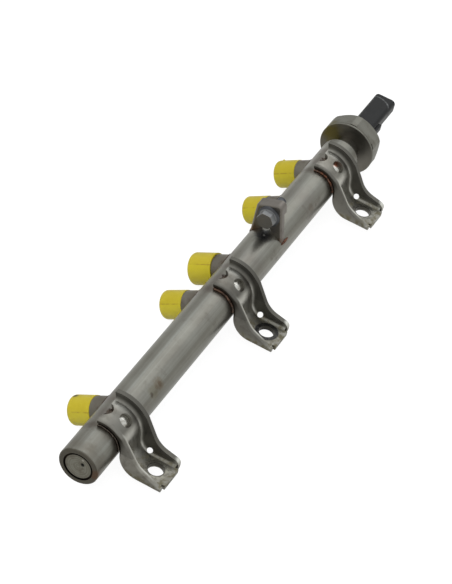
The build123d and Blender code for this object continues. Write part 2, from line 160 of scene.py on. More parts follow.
class RailSizes(bpy.types.PropertyGroup):
    """Sizes of the braze and of the caps' rounding."""

    bead_width: FloatProperty(
        name="Bead width", description="Half width of the braze along a bracket's edge",
        subtype="DISTANCE", unit="LENGTH", default=0.95 * MM, min=0.2 * MM, max=3.0 * MM)
    bead_height: FloatProperty(
        name="Bead height", description="Height of the braze above the tube",
        subtype="DISTANCE", unit="LENGTH", default=0.75 * MM, min=0.1 * MM, max=3.0 * MM)
    seam_radius: FloatProperty(
        name="Seam radius", description="Radius of the braze ring round a fitting",
        subtype="DISTANCE", unit="LENGTH", default=0.55 * MM, min=0.1 * MM, max=2.0 * MM)
    cap_rounding: FloatProperty(
        name="Cap rounding", description="Radius of the rounded end edge of a cap",
        subtype="DISTANCE", unit="LENGTH", default=1.9 * MM, min=0.5 * MM, max=3.0 * MM)
    seed: IntProperty(
        name="Seed", description="Start of the braze's uneven run", default=7, min=0)


# Meshes


def grid_quads(rows, columns, wrap_rows):
    """Corner numbers of the quads between neighbouring points of a grid that is closed round."""
    row = np.arange(rows if wrap_rows else rows - 1)
    column = np.arange(columns)
    here, there = np.meshgrid(row, column, indexing="ij")
    below = (here + 1) % rows
    right = (there + 1) % columns
    corners = [here * columns + there, below * columns + there,
               below * columns + right, here * columns + right]
    return np.stack(corners, -1).reshape(-1, 4)


def closed_surface(name, points, closed_path=False):
    """Mesh object of a surface p(i, j), with i along a path and j round it.

    Quads join neighbouring points. An open path is closed at each end by triangles from its ring
    to the ring's middle. The faces are turned over together if the volume that they enclose,
    the sum of the signed volumes from the origin, comes out negative.
    """
    rows, columns = points.shape[:2]
    quads = grid_quads(rows, columns, closed_path)
    vertices = points.reshape(-1, 3)
    triangles = np.zeros((0, 3), int)
    if not closed_path:
        first = rows * columns
        vertices = np.vstack([vertices, points[0].mean(0), points[-1].mean(0)])
        step = np.arange(columns)
        following = (step + 1) % columns
        start = np.stack([np.full(columns, first), step, following], -1)
        last = (rows - 1) * columns
        end = np.stack([np.full(columns, first + 1), last + following, last + step], -1)
        triangles = np.vstack([start, end])
    split = np.vstack([quads[:, [0, 1, 2]], quads[:, [0, 2, 3]], triangles])
    a, b, c = vertices[split[:, 0]], vertices[split[:, 1]], vertices[split[:, 2]]
    if np.einsum("ij,ij->i", a, np.cross(b, c)).sum() < 0:
        quads = quads[:, ::-1]
        triangles = triangles[:, ::-1]
    mesh = bpy.data.meshes.new(name)
    mesh.from_pydata(vertices.tolist(), [], quads.tolist() + triangles.tolist())
    mesh.polygons.foreach_set("use_smooth", np.ones(len(mesh.polygons), bool))
    mesh.update()
    piece = bpy.data.objects.new(name, mesh)
    bpy.context.scene.collection.objects.link(piece)
    return piece


def unit(vectors):
    """Vectors brought to a length of 1."""
    return vectors / np.linalg.norm(vectors, axis=-1, keepdims=True)


def turns(count):
    """Equal angles all round."""
    return np.linspace(0, 2 * np.pi, count, endpoint=False)


def uneven(steps, seed, waves=7):
    """Smooth uneven value round 0, within about 1, of a path's share: a sum of sines of rising
    count and falling height, each with its own start."""
    random = np.random.default_rng(seed)
    count = np.arange(1, waves + 1)[:, None]
    start = random.uniform(0, 2 * np.pi, (waves, 1))
    height = random.uniform(0.5, 1.0, (waves, 1)) / np.sqrt(count)
    rise = np.sin(2 * np.pi * (count * 1.7 + 0.3) * steps[None, :] + start)
    return (height * rise).sum(0) / height.sum()


def ellipses(path, across, outward, widths, heights, sides):
    """Points of an ellipse at each place of a path: half width across, half height outward."""
    turn = turns(sides)[None, :, None]
    side = across[:, None, :] * np.cos(turn) * widths[:, None, None]
    return path[:, None, :] + side + outward[:, None, :] * np.sin(turn) * heights[:, None, None]


def bead(path, outward, widths, heights, sides=14):
    """Points of a bead along an open path, with its height in the outward direction."""
    outward = unit(outward)
    across = unit(np.cross(unit(np.gradient(path, axis=0)), outward))
    return ellipses(path, across, outward, widths, heights, sides)


def around_tube(x, radius, angle):
    """Points at a radius and an angle from +Y towards +Z about the tube's axis."""
    y = AXIS_Y + radius * np.cos(angle)
    z = AXIS_Z + radius * np.sin(angle)
    return np.stack(np.broadcast_arrays(x, y, z), -1)


def add_piece(name, points, material, closed_path=False):
    """New piece of a surface, with its material and the body it rides on."""
    piece = closed_surface(name, points, closed_path)
    piece.data.materials.append(material)
    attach(piece, "root")
    return piece


def paint(node, material):
    """Assign a material to every slot of a model node."""
    for held in nodes[node].material_slots:
        held.material = material


# Node helpers


def add(kind, inputs, tree=None, **settings):
    """New shader node with its settings, and its inputs set to values or joined to sockets.

    It goes into the tree of those sockets, unless a tree is given.
    """
    joined = {name: value for name, value in inputs.items()
              if isinstance(value, bpy.types.NodeSocket)}
    tree = tree or next(iter(joined.values())).id_data
    made = tree.nodes.new("ShaderNode" + kind)
    for name, value in settings.items():
        setattr(made, name, value)
    for name, value in inputs.items():
        if name in joined:
            tree.links.new(value, made.inputs[name])
        else:
            made.inputs[name].default_value = value
    return made


def blend(factor, low, high):
    """Colour between low and high by a factor."""
    low, high = (value if isinstance(value, bpy.types.NodeSocket) else (*value, 1.0)
                 for value in (low, high))
    made = add("Mix", {0: factor, 6: low, 7: high}, data_type="RGBA", clamp_factor=True)
    return made.outputs[2]


def tinted(colour, *layers):
    """Colour with layers laid over it in order, each a mask, a share of it and a shade."""
    for mask, share, shade in layers:
        colour = blend(product(mask, share), colour, shade)
    return colour


def shaded(colour, factor):
    """Plain colour times a factor."""
    return tuple(min(1.0, value * factor) for value in colour)


def sums(operation, *values):
    """Result of a math step."""
    return add("Math", dict(enumerate(values)), operation=operation).outputs[0]


def product(first, *others):
    """Product of values."""
    for other in others:
        first = sums("MULTIPLY", first, other)
    return first


def weighted(*pairs):
    """Sum of values, each times its weight."""
    total = 0.0
    for value, weight in pairs:
        total = sums("MULTIPLY_ADD", value, weight, total)
    return total


def ramp(value, low, high, to_low=0.0, to_high=1.0):
    """Value carried smoothly from between low and high to between to_low and to_high."""
    made = add("MapRange", {0: value, 1: low, 2: high, 3: to_low, 4: to_high},
               interpolation_type="SMOOTHSTEP")
    return made.outputs[0]


def window(value, start, full, fading, end):
    """Mask that rises from start to full and falls again from fading to end."""
    return product(ramp(value, start, full), ramp(value, end, fading))


def vector_step(operation, *values, result=0):
    """Result of a vector math step."""
    made = add("VectorMath", dict(enumerate(values)), operation=operation)
    return made.outputs[result]


def apart(first, second):
    """Distance between two places."""
    return vector_step("DISTANCE", first, second, result="Value")


def axes(here):
    """X, Y and Z of a place."""
    return add("SeparateXYZ", {0: here}).outputs


def noise_at(here, scale, detail, roughness=0.5):
    """Noise of a scale at a place."""
    made = add("TexNoise", {"Vector": here, "Scale": scale, "Detail": detail,
                            "Roughness": roughness})
    return made.outputs["Fac"]


# Effects: each is a shared node group, and its function gives the group's results


def make_streaks(here, scale):
    """Drawn streaks: noise stretched by a scale vector, coarse and fine."""
    stretched = vector_step("MULTIPLY", here, scale)
    return (noise_at(stretched, 0.35, 3.0, 0.55), noise_at(stretched, 1.6, 4.0, 0.6))


def make_blotches(here, scale, low, high):
    """Blotches: noise with a warped place, cut to a mask between two levels."""
    warp = add("TexNoise", {"Vector": here, "Scale": 60.0, "Detail": 2.0}).outputs["Color"]
    bent = vector_step("MULTIPLY_ADD", warp, (0.006, 0.006, 0.006), here)
    return (ramp(noise_at(bent, scale, 5.0, 0.62), low, high),)


def make_spot(here, centre, radius, ragged):
    """Spot: mask that falls from 1 at a centre to 0 at a radius, with a ragged edge."""
    noise = sums("SUBTRACT", noise_at(here, 420.0, 4.0), 0.5)
    share = sums("DIVIDE", apart(here, centre), radius)
    share = sums("ADD", share, product(noise, ragged, 2.0))
    return (ramp(share, 1.0, 0.35),)


def make_band(here, middle, reach):
    """Band: mask that is 1 at a place along X and falls to 0 at a reach on both sides."""
    noise = sums("SUBTRACT", noise_at(here, 300.0, 3.0), 0.5)
    offset = sums("ABSOLUTE", sums("SUBTRACT", axes(here)[0], middle))
    share = sums("ADD", sums("DIVIDE", offset, reach), noise)
    return (ramp(share, 1.0, 0.0),)


def make_rings(here, centre, scale):
    """Turned rings: noise of the distance from an axis along X, and that distance."""
    moved = vector_step("SUBTRACT", here, centre)
    flat = vector_step("MULTIPLY", moved, (0.0, 1.0, 1.0))
    radius = vector_step("LENGTH", flat, result="Value")
    line = add("CombineXYZ", {0: product(radius, scale), 1: product(axes(moved)[0], scale)})
    return (noise_at(line.outputs[0], 1.0, 2.0), radius)


def make_grain(here, scale):
    """Grain: fine height of moulded plastic or sanded metal, with a few coarser pits."""
    cells = add("TexVoronoi", {"Vector": here, "Scale": product(scale, 0.22)})
    return (noise_at(here, scale, 3.0), ramp(cells.outputs["Distance"], 0.16, 0.02))


# name: function, inputs beside the place with their first values, results
EFFECTS = {
    "drawn streaks": (make_streaks, {"Scale": (6.0, 900.0, 900.0)}, ("Coarse", "Fine")),
    "blotches": (make_blotches, {"Scale": 120.0, "Low": 0.45, "High": 0.62}, ("Mask",)),
    "spot": (make_spot, {"Centre": TUBE_AXIS, "Radius": 0.004, "Ragged": 0.4}, ("Mask",)),
    "band": (make_band, {"Place": 0.0, "Reach": 0.003}, ("Mask",)),
    "turned rings": (make_rings, {"Centre": TUBE_AXIS, "Scale": 2500.0}, ("Ring", "Radius")),
    "grain": (make_grain, {"Scale": 2200.0}, ("Height", "Pits")),
}


def effect(name):
    """Node group of an effect, made at its first use."""
    if name in bpy.data.node_groups:
        return bpy.data.node_groups[name]
    make, inputs, results = EFFECTS[name]
    inputs = {"Vector": (0.0, 0.0, 0.0), **inputs}
    tree = bpy.data.node_groups.new(name, "ShaderNodeTree")
    for label, value in inputs.items():
        kind = "NodeSocketVector" if isinstance(value, tuple) else "NodeSocketFloat"
        socket = tree.interface.new_socket(label, in_out="INPUT", socket_type=kind)
        socket.default_value = value
    for label in results:
        tree.interface.new_socket(label, in_out="OUTPUT", socket_type="NodeSocketFloat")
    inlet = tree.nodes.new("NodeGroupInput")
    outlet = tree.nodes.new("NodeGroupOutput")
    made = make(*(inlet.outputs[label] for label in inputs))
    for label, value in zip(results, made):
        tree.links.new(value, outlet.inputs[label])
    return tree


def place(name, here, **values):
    """Results of an effect at a place, with its inputs set to values."""
    return add("Group", {"Vector": here, **values}, node_tree=effect(name)).outputs


def patches(here, scale, low, high):
    """Mask of blotches of a scale, cut between two levels."""
    return place("blotches", here, Scale=scale, Low=low, High=high)["Mask"]


def spot_mask(here, centre, radius, ragged=0.4):
    """Mask of a spot with a ragged edge."""
    return place("spot", here, Centre=centre, Radius=radius, Ragged=ragged)["Mask"]


def new_material(name, **plain):
    """Material whose Principled surface has plain values, and its object coordinates."""
    material = bpy.data.materials.new(name)
    material.use_nodes = True
    tree = material.node_tree
    surface = tree.nodes["Principled BSDF"]
    for label, value in plain.items():
        surface.inputs[label.replace("_", " ")].default_value = value
    return material, add("TexCoord", {}, tree).outputs["Object"]


def skinned(material, colour, roughness, height, strength, distance):
    """The material, with a colour, a roughness and a height of bump joined to its surface."""
    tree = material.node_tree
    bump = add("Bump", {"Strength": strength, "Distance": distance, "Height": height})
    for label, value in (("Base Color", colour), ("Roughness", roughness),
                         ("Normal", bump.outputs["Normal"])):
        tree.links.new(value, tree.nodes["Principled BSDF"].inputs[label])
    return material


# Materials


def metal(name, base, dark, light, streak_scale, rough, blotch=(140.0, 0.5, 0.66), spots=(),
          bands=(), fronts=(), bump=0.25, streak_share=0.5):
    """Satin metal: base colour with dark blotches and light streaks, spots and bands of tint.

    fronts are (place along X, colour, strength) for all that lies before a place, spots (centre,
    radius, colour, strength) and bands (place along X, reach, colour, strength). Roughness is
    between the two values of rough, higher in the blotches.
    """
    material, here = new_material(name, Metallic=1.0)
    streaks = place("drawn streaks", here, Scale=streak_scale)
    marks = patches(here, *blotch)
    along = axes(here)[0]
    layers = [(marks, 0.55, dark), (patches(here, 38.0, 0.35, 0.68), 0.35, dark),
              (ramp(streaks["Coarse"], 0.42, 0.72), streak_share, light)]
    layers += [(ramp(along, edge, edge - 0.3 * MM), strength, shade)
               for edge, shade, strength in fronts]
    layers += [(spot_mask(here, centre, radius), strength, shade)
               for centre, radius, shade, strength in spots]
    layers += [(place("band", here, Place=middle, Reach=reach)["Mask"], strength, shade)
               for middle, reach, shade, strength in bands]
    level = weighted((streaks["Fine"], rough[1] - rough[0]), (1.0, rough[0]), (marks, 0.08))
    height = weighted((streaks["Fine"], 0.6), (marks, 0.4))
    return skinned(material, tinted(base, *layers), level, height, bump, 0.04 * MM)


def tube_steel(colours):
    """Drawn steel of the tube, with heat tint beside the brackets, painted contact shadow before
    their near edges, and brown stains.
    """
    stain = tuple(colours.stain)
    heated = tuple(colours.heated)
    burnt = (0.13, 0.080, 0.045)
    spots = [
        # the long stain between the front and the middle bracket
        ((-0.0990, 0.0240, 0.0237), 0.0056, (0.155, 0.118, 0.072), 0.50),
        ((-0.1060, 0.0237, 0.0234), 0.0056, (0.165, 0.145, 0.090), 0.45),
        ((-0.0984, 0.0240, 0.0237), 0.0024, stain, 0.50),
        ((-0.1020, 0.0240, 0.0237), 0.0022, stain, 0.28),
        ((-0.1085, 0.0234, 0.0231), 0.0019, (0.060, 0.045, 0.035), 0.55),
        # rust on the tube's end and behind it
        ((-0.1742, 0.0212, 0.0150), 0.0052, (0.13, 0.060, 0.030), 0.75),
        ((-0.1580, 0.0199, 0.0148), 0.0042, burnt, 0.55),
        ((-0.1500, 0.0201, 0.0165), 0.0036, burnt, 0.45),
        # painted shadow below the bolt, a painted highlight on it, and a stain further back
        ((0.0500, 0.0332, 0.0266), 0.0072, (0.035, 0.038, 0.055), 0.70),
        ((0.0496, 0.0326, 0.0269), 0.0011, (0.75, 0.75, 0.72), 0.90),
        ((0.0980, 0.0225, 0.0215), 0.0040, (0.14, 0.115, 0.085), 0.45),
    ]
    bands = [(TUBE_FRONT + 4.0 * MM, 0.0090, (0.135, 0.115, 0.088), 0.42)]
    for middle in BRACKETS.values():
        tip = around_tube(middle + NOTCH_OFFSET, TUBE_RADIUS, radians(NOTCH_TIP_ANGLE))
        spots.append((tip.tolist(), 0.0075, heated, 0.55))
        # painted contact shadow, with heat tint, on the tube before the bracket's near edge
        bands.append((middle - BRACKET_HALF, 0.0066, (0.088, 0.071, 0.056), 0.72))
        bands.append((middle + BRACKET_HALF, 0.0042, heated, 0.55))
    for along, *_ in FITTINGS.values():
        bands.append((along, 0.0130, heated, 0.20))
        spots.append(((along, AXIS_Y + TUBE_RADIUS, AXIS_Z), 0.0115, (0.085, 0.050, 0.034), 0.65))
    return metal("drawn steel", tuple(colours.steel), (0.135, 0.120, 0.100), (0.40, 0.41, 0.38),
                 (5.0, 700.0, 700.0), (0.27, 0.40), blotch=(110.0, 0.55, 0.74), spots=spots,
                 bands=bands, fronts=[(TUBE_FRONT + 0.6 * MM, (0.085, 0.078, 0.062), 0.85)],
                 bump=0.18, streak_share=0.42)


def plug_steel():
    """Turned steel of the plug: faint rings about its axis, a dark, coppery ring at its edge,
    painted shade in a punch mark and a painted highlight on a small bump.
    """
    material, here = new_material("turned plug", Metallic=1.0)
    rings = place("turned rings", here, Scale=2600.0)
    face = TUBE_FRONT + 0.3 * MM
    # painted shade in the punch mark's hollow, and a painted highlight on a small bump above it
    punch = spot_mask(here, (face, AXIS_Y - 2.4 * MM, AXIS_Z + 2.9 * MM), 1.7 * MM, 0.15)
    bump_highlight = spot_mask(here, (face, AXIS_Y - 2.0 * MM, AXIS_Z + 6.2 * MM), 1.1 * MM, 0.5)
    colour = tinted((0.20, 0.19, 0.155),
                    (ramp(rings["Ring"], 0.35, 0.7), 1.0, (0.30, 0.295, 0.25)),
                    (patches(here, 260.0, 0.46, 0.7), 0.5, (0.12, 0.095, 0.07)),
                    (ramp(rings["Radius"], 7.7 * MM, 8.3 * MM), 1.0, (0.030, 0.020, 0.014)),
                    (punch, 1.0, (0.012, 0.012, 0.011)), (bump_highlight, 1.0, (0.42, 0.41, 0.36)))
    level = ramp(rings["Ring"], 0.3, 0.8, 0.34, 0.52)
    return skinned(material, colour, level, rings["Ring"], 0.22, 0.03 * MM)


def bracket_masks(here, middle):
    """Masks of a bracket's regions, from the place beside its middle and the turn about the tube.

    flank is both flanges, inner the far flange's inner face, saddle the sheet on the tube and
    crest the far side of its top, low the foot, leg the web above it and fold the leg's far bend.
    """
    x, y, z = axes(here)
    beside = sums("SUBTRACT", x, middle)
    _, across, up = axes(vector_step("SUBTRACT", here, TUBE_AXIS))
    angle = sums("ARCTAN2", up, across)
    flank = ramp(sums("ABSOLUTE", beside), 9.2 * MM, 11.0 * MM)
    return {
        "flank": flank,
        "inner": product(ramp(beside, 7.6 * MM, 9.2 * MM), ramp(z, 3.4 * MM, 7.0 * MM, 0.0, 0.95)),
        "saddle": ramp(angle, radians(84.0), radians(105.0)),
        "crest": product(window(beside, 1.0 * MM, 5.0 * MM, 6.2 * MM, 8.0 * MM),
                         ramp(angle, radians(122.0), radians(98.0))),
        "low": ramp(z, 6.5 * MM, 2.5 * MM),
        "leg": product(ramp(y, 21.5 * MM, 18.0 * MM), ramp(z, 4.0 * MM, 7.5 * MM),
                       sums("SUBTRACT", 1.0, flank), ramp(beside, 9.0 * MM, 7.6 * MM)),
        "fold": product(window(beside, 6.0 * MM, 7.6 * MM, 8.0 * MM, 9.3 * MM),
                        window(z, 5.5 * MM, 8.5 * MM, 15.0 * MM, 20.0 * MM)),
    }


def bracket_steel(name, middle, colours):
    """Stamped steel of a bracket: blotches, a contact ring round the bolt hole, olive dirt on the
    foot, and brown where the sheet meets the braze. Painted shade darkens the flanges, the far
    flange's inner face, the saddle's side towards the foot, the foot and the bolt hole's edge;
    painted highlights lighten the leg, its far bend, the far side of the saddle's top and the
    flanges' tips."""
    material, here = new_material("stamped steel " + name, Metallic=1.0)
    tone, (ring_dark, ring_light, ring_share), flank_shade_share, _, _ = BRACKET_LOOKS[name]
    base = shaded(colours.stamped, tone)
    masks = bracket_masks(here, middle)
    streaks = place("drawn streaks", here, Scale=(260.0, 60.0, 60.0))
    marks = patches(here, 190.0, 0.47, 0.68)
    # painted highlights at the ends of the far and near flanges
    far_tip, near_tip = (spot_mask(here, (middle + side * 11.5 * MM, -8.6 * MM, 5.0 * MM),
                                   4.4 * MM, 0.25) for side in (1, -1))
    from_hole = apart(here, (middle, 0.0, FOOT_HOLE_HEIGHT))
    grime = noise_at(here, 330.0, 4.0)
    dirt = product(ramp(grime, 0.42, 0.6), masks["low"], ramp(from_hole, 6.6 * MM, 8.8 * MM))
    contact = ramp(noise_at(here, 520.0, 3.0), 0.40, 0.62)
    from_axis = apart(vector_step("MULTIPLY", here, (0.0, 1.0, 1.0)), TUBE_AXIS)
    near_tube = product(ramp(from_axis, 14.0 * MM, 12.9 * MM), ramp(grime, 0.36, 0.58))
    colour = tinted(base, (ramp(streaks["Coarse"], 0.4, 0.75), 1.0, shaded(base, 1.35)),
                    (patches(here, 48.0, 0.38, 0.66), 0.45, (0.145, 0.125, 0.100)),
                    (marks, 0.40, (0.105, 0.092, 0.078)),
                    # painted shade on the flanges
                    (masks["flank"], flank_shade_share, (0.078, 0.074, 0.065)),
                    # painted shade on the far flange's inner face
                    (masks["inner"], 1.0, (0.150, 0.144, 0.127)),
                    # painted shade on the saddle's side towards the foot
                    (masks["saddle"], 0.45, shaded(base, 0.42)),
                    # painted highlight along the far side of the saddle's top
                    (masks["crest"], 0.32, (0.62, 0.62, 0.58)),
                    # painted highlights at the flanges' tips
                    (far_tip, 0.9, (0.85, 0.85, 0.80)), (near_tip, 0.3, (0.85, 0.85, 0.80)),
                    # painted shade on the foot
                    (masks["low"], 0.75, (0.215, 0.208, 0.180)),
                    # painted light on the leg's web
                    (masks["leg"], 0.85, (0.66, 0.65, 0.60)),
                    # painted highlight on the leg's far bend
                    (masks["fold"], 0.75, (0.74, 0.73, 0.68)),
                    (dirt, 0.55, (0.15, 0.125, 0.055)),
                    (ramp(from_hole, 7.8 * MM, 7.0 * MM), ring_share,
                     blend(contact, ring_dark, ring_light)),
                    # painted shade at the edge of the foot's bolt hole
                    (ramp(from_hole, 5.6 * MM, 5.0 * MM), 0.85, (0.045, 0.042, 0.036)),
                    (near_tube, 0.7, (0.13, 0.070, 0.040)))
    level = weighted((ramp(streaks["Fine"], 0.3, 0.75, 0.30, 0.42), 1.0),
                     (masks["inner"], 0.22), (dirt, 0.25))
    height = weighted((grime, 0.5), (marks, 0.5))
    return skinned(material, colour, level, height, 0.22, 0.08 * MM)


def braze_copper(name, tone):
    """Copper braze: reddish brown, darker and duller in patches, with a rippled skin."""
    material, here = new_material(name, Metallic=1.0)
    marks = patches(here, 420.0, 0.40, 0.64)
    colour = tinted(tone, (marks, 1.0, (0.050, 0.036, 0.028)),
                    (patches(here, 110.0, 0.42, 0.62), 0.5, (0.11, 0.095, 0.080)))
    return skinned(material, colour, ramp(marks, 0.0, 1.0, 0.30, 0.50),
                   noise_at(here, 900.0, 3.0), 0.35, 0.12 * MM)


def braze_fill():
    """Braze that has risen in a bracket's saddle hole, coppery at the rear one's edge, with a light
    colour that is partly a painted highlight.
    """
    material, here = new_material("risen braze", Metallic=1.0)
    marks = patches(here, 300.0, 0.40, 0.70)
    copper = spot_mask(here, (0.1412, 0.0260, 0.0284), 4.2 * MM, 0.3)
    # light colour: bright braze, partly a painted highlight of the glint in the hole
    colour = tinted((0.58, 0.575, 0.54), (marks, 1.0, (0.34, 0.32, 0.28)),
                    (copper, 1.0, (0.26, 0.075, 0.035)))
    return skinned(material, colour, ramp(marks, 0.0, 1.0, 0.26, 0.44),
                   noise_at(here, 700.0, 3.0), 0.3, 0.2 * MM)


def cap_plastic(colours, name, along, turn, parting):
    """Moulded yellow plastic: slight mottling, fine grain, specks, a brown parting line, marks and
    painted shade on one side of the parting plane.

    The parting line is where the offset square to the parting plane is nearly nothing.
    """
    material, here = new_material(
        "yellow plastic " + name, Metallic=0.0, Specular_IOR_Level=0.35, Subsurface_Weight=0.12,
        Subsurface_Radius=(0.002, 0.0015, 0.0003), Subsurface_Scale=1.0)
    marks = patches(here, 130.0, 0.42, 0.70)
    grain = place("grain", here, Scale=2600.0)
    base = tuple(colours.cap)
    split = radians(parting)
    start, _, across = fitting_frame(along, turn)
    square = cos(split) * across - sin(split) * X_AXIS
    moved = vector_step("SUBTRACT", here, start.tolist())
    offset = vector_step("DOT_PRODUCT", moved, square.tolist(), result="Value")
    line = product(ramp(sums("ABSOLUTE", offset), 0.55 * MM, 0.15 * MM),
                   ramp(noise_at(here, 260.0, 2.0), 0.38, 0.62, 0.10, 0.62))
    spots = [(spot_mask(here, centre, radius), strength, (0.030, 0.026, 0.012))
             for centre, radius, strength in CAP_MARKS.get(name, ())]
    colour = tinted(base, (marks, 0.5, shaded(base, 0.86)),
                    (patches(here, 700.0, 0.66, 0.74), 0.35, (0.22, 0.17, 0.03)),
                    (line, 1.0, (0.19, 0.11, 0.014)),
                    # painted shade: the cap is darker on one side of the parting plane
                    (ramp(offset, 0.2 * MM, -0.6 * MM), 0.22, (0.30, 0.20, 0.014)), *spots)
    height = weighted((grain["Height"], 0.6), (grain["Pits"], -0.25))
    level = ramp(marks, 0.0, 1.0, 0.42, 0.54)
    return skinned(material, colour, level, height, 0.16, 0.05 * MM)


def plug_plastic(colours):
    """Moulded black plastic of the sensor's plug body, with dusty scuffs.

    One scuff is an arc: the part of a circle on the upper face near the end, broken by noise.
    """
    material, here = new_material("black plastic", Metallic=0.0, Specular_IOR_Level=0.20)
    marks = patches(here, 150.0, 0.44, 0.66)
    grain = place("grain", here, Scale=2400.0)
    scratch = place("drawn streaks", here, Scale=(140.0, 1500.0, 900.0))
    arc_centre = (221.0 * MM, 36.2 * MM, 0.0)
    arc_radius = 11.2 * MM
    flat = vector_step("MULTIPLY", here, (1.0, 1.0, 0.0))
    offset = sums("SUBTRACT", apart(flat, arc_centre), arc_radius)
    x, _, z = axes(here)
    arc = product(ramp(sums("ABSOLUTE", offset), 0.8 * MM, 0.2 * MM),
                  ramp(x, 223.5 * MM, 225.5 * MM), ramp(z, 18.5 * MM, 19.5 * MM),
                  ramp(noise_at(here, 500.0, 3.0), 0.35, 0.65, 0.15, 0.75))
    colour = tinted(tuple(colours.plastic), (marks, 0.6, (0.015, 0.0155, 0.016)),
                    (ramp(scratch["Fine"], 0.66, 0.76), 0.35, (0.10, 0.10, 0.10)),
                    (arc, 1.0, (0.16, 0.165, 0.165)))
    height = weighted((grain["Height"], 0.7), (grain["Pits"], -0.3))
    level = ramp(marks, 0.0, 1.0, 0.38, 0.52)
    return skinned(material, colour, level, height, 0.18, 0.05 * MM)


def seal_rubber():
    """Dull green-black rubber of the seal ring."""
    material, here = new_material("seal rubber", Metallic=0.0)
    height = place("grain", here, Scale=1800.0)["Height"]
    colour = blend(height, (0.012, 0.016, 0.013), (0.030, 0.036, 0.030))
    level = ramp(height, 0.3, 0.7, 0.60, 0.75)
    return skinned(material, colour, level, height, 0.2, 0.04 * MM)


# Points of the new pieces; each uneven one counts its seeds on from the seed of the properties


def fitting_frame(along, turn):
    """Place of a fitting on the tube's axis, its axis, and the direction square to that and X."""
    angle = radians(turn)
    return (np.array([along, AXIS_Y, AXIS_Z]),
            np.array([0.0, cos(angle), sin(angle)]),
            np.array([0.0, -sin(angle), cos(angle)]))


def around_fitting(sides, across):
    """Directions at angles about a fitting's axis, from +X."""
    return np.cos(sides)[:, None] * X_AXIS + np.sin(sides)[:, None] * across


def cap_points(along, turn, kind, rounding, parting):
    """Points of a moulded cap, a cup turned about its fitting's axis.

    The profile runs from the middle of the inner floor, down the inner wall, over the mouth, up
    the outer wall and round its end edge, and dips by a smooth dish to the middle of the end. The
    outer wall swells by a fine ridge at the mould's parting line, on both sides of the cap.
    """
    _, radius, shoulder, end, inner = kind
    ridge = 0.09 * MM
    dish_depth = 0.55 * MM
    inner_corner = 0.5 * MM
    floor = end - 2.0 * MM
    mouth = shoulder + 0.05 * MM
    quarter = np.linspace(0, np.pi / 2, 9)
    inside = [(floor, inner * share) for share in (0.25, 0.6, 0.9)]
    inside += list(zip(floor - inner_corner * (1 - np.cos(quarter[::4])),
                       inner - inner_corner * (1 - np.sin(quarter[::4]))))
    inside += [(floor - 5 * MM, inner), (mouth + 0.4 * MM, inner), (mouth, inner + 0.3 * MM)]
    outside = [(mouth, radius - 0.35 * MM), (mouth + 0.1 * MM, radius - 0.1 * MM),
               (mouth + 0.35 * MM, radius)]
    wall = np.linspace(mouth + 0.9 * MM, end - rounding, 14)
    outside += [(height, radius) for height in wall]
    corner = list(zip(end - rounding * (1 - np.sin(quarter[1:])),
                      radius - rounding * (1 - np.cos(quarter[1:]))))
    share = np.linspace(1, 0.06, 12)[1:]
    sunk = np.clip((1 - share) * 6, 0, 1)
    dish = list(zip(end - dish_depth * sunk ** 2 * (3 - 2 * sunk), (radius - rounding) * share))
    profile = np.array(inside + outside + corner + dish)
    height, distance = profile[:, 0], profile[:, 1]
    sides = turns(96)
    on_wall = np.clip((distance - (radius - 0.6 * MM)) / (0.5 * MM), 0, 1)
    on_wall = on_wall * (height > mouth + 0.3 * MM)
    line = np.exp(-(np.sin(sides - radians(parting)) / 0.045) ** 2) * ridge
    spread = distance[:, None] + on_wall[:, None] * (line[None, :] - ridge)
    start, axis, across = fitting_frame(along, turn)
    around = around_fitting(sides, across)
    return start + height[:, None, None] * axis + spread[:, :, None] * around[None]


def nub_points(along, turn, radius, height, place_round):
    """Points of the moulding nub on a cap's wall: a small bead that stands out of the wall and
    thins to a blunt end."""
    share = np.linspace(0, 1, 12)
    start, axis, across = fitting_frame(along, turn)
    outward = around_fitting(np.radians([place_round]), across)[0]
    root = start + height * axis + (radius - 0.3 * MM) * outward
    path = root + share[:, None] * 0.85 * MM * outward
    size = 0.70 * MM * np.sqrt(np.clip(1 - share ** 2, 0.02, 1))
    return bead(path, np.tile(axis, (12, 1)), size, size * 1.3, sides=16)


def seam_points(along, turn, collar, radius, seed):
    """Points of the braze ring where a collar meets the tube.

    Its middle line runs round the collar: collar radius times the cosine along X and times the
    sine across, at the height of the tube's surface there, the root of the tube's radius squared
    less the offset across squared. Its section is round and swells and thins unevenly.
    """
    sides = turns(180)
    middle, axis, across = fitting_frame(along, turn)
    outward = around_fitting(sides, across)
    height = np.sqrt(TUBE_RADIUS ** 2 - (collar * np.sin(sides)) ** 2)
    path = middle + collar * outward + height[:, None] * axis
    size = radius * (1 + 0.28 * uneven(sides / (2 * np.pi), seed))
    size = 0.5 * (size + size[::-1])
    along_path = unit(np.roll(path, -1, 0) - np.roll(path, 1, 0))
    lift = axis[None, :] + outward
    lift = unit(lift - (lift * along_path).sum(1, keepdims=True) * along_path)
    return ellipses(path, np.cross(along_path, lift), lift, size, size, 12)


def tube_bead(x, lift, angle, widths, heights, sides=14):
    """Points of a bead round the tube, its middle line lifted off the tube's surface."""
    path = around_tube(x, TUBE_RADIUS + lift, angle)
    return bead(path, around_tube(0.0, 1.0, angle) - TUBE_AXIS, widths, heights, sides)


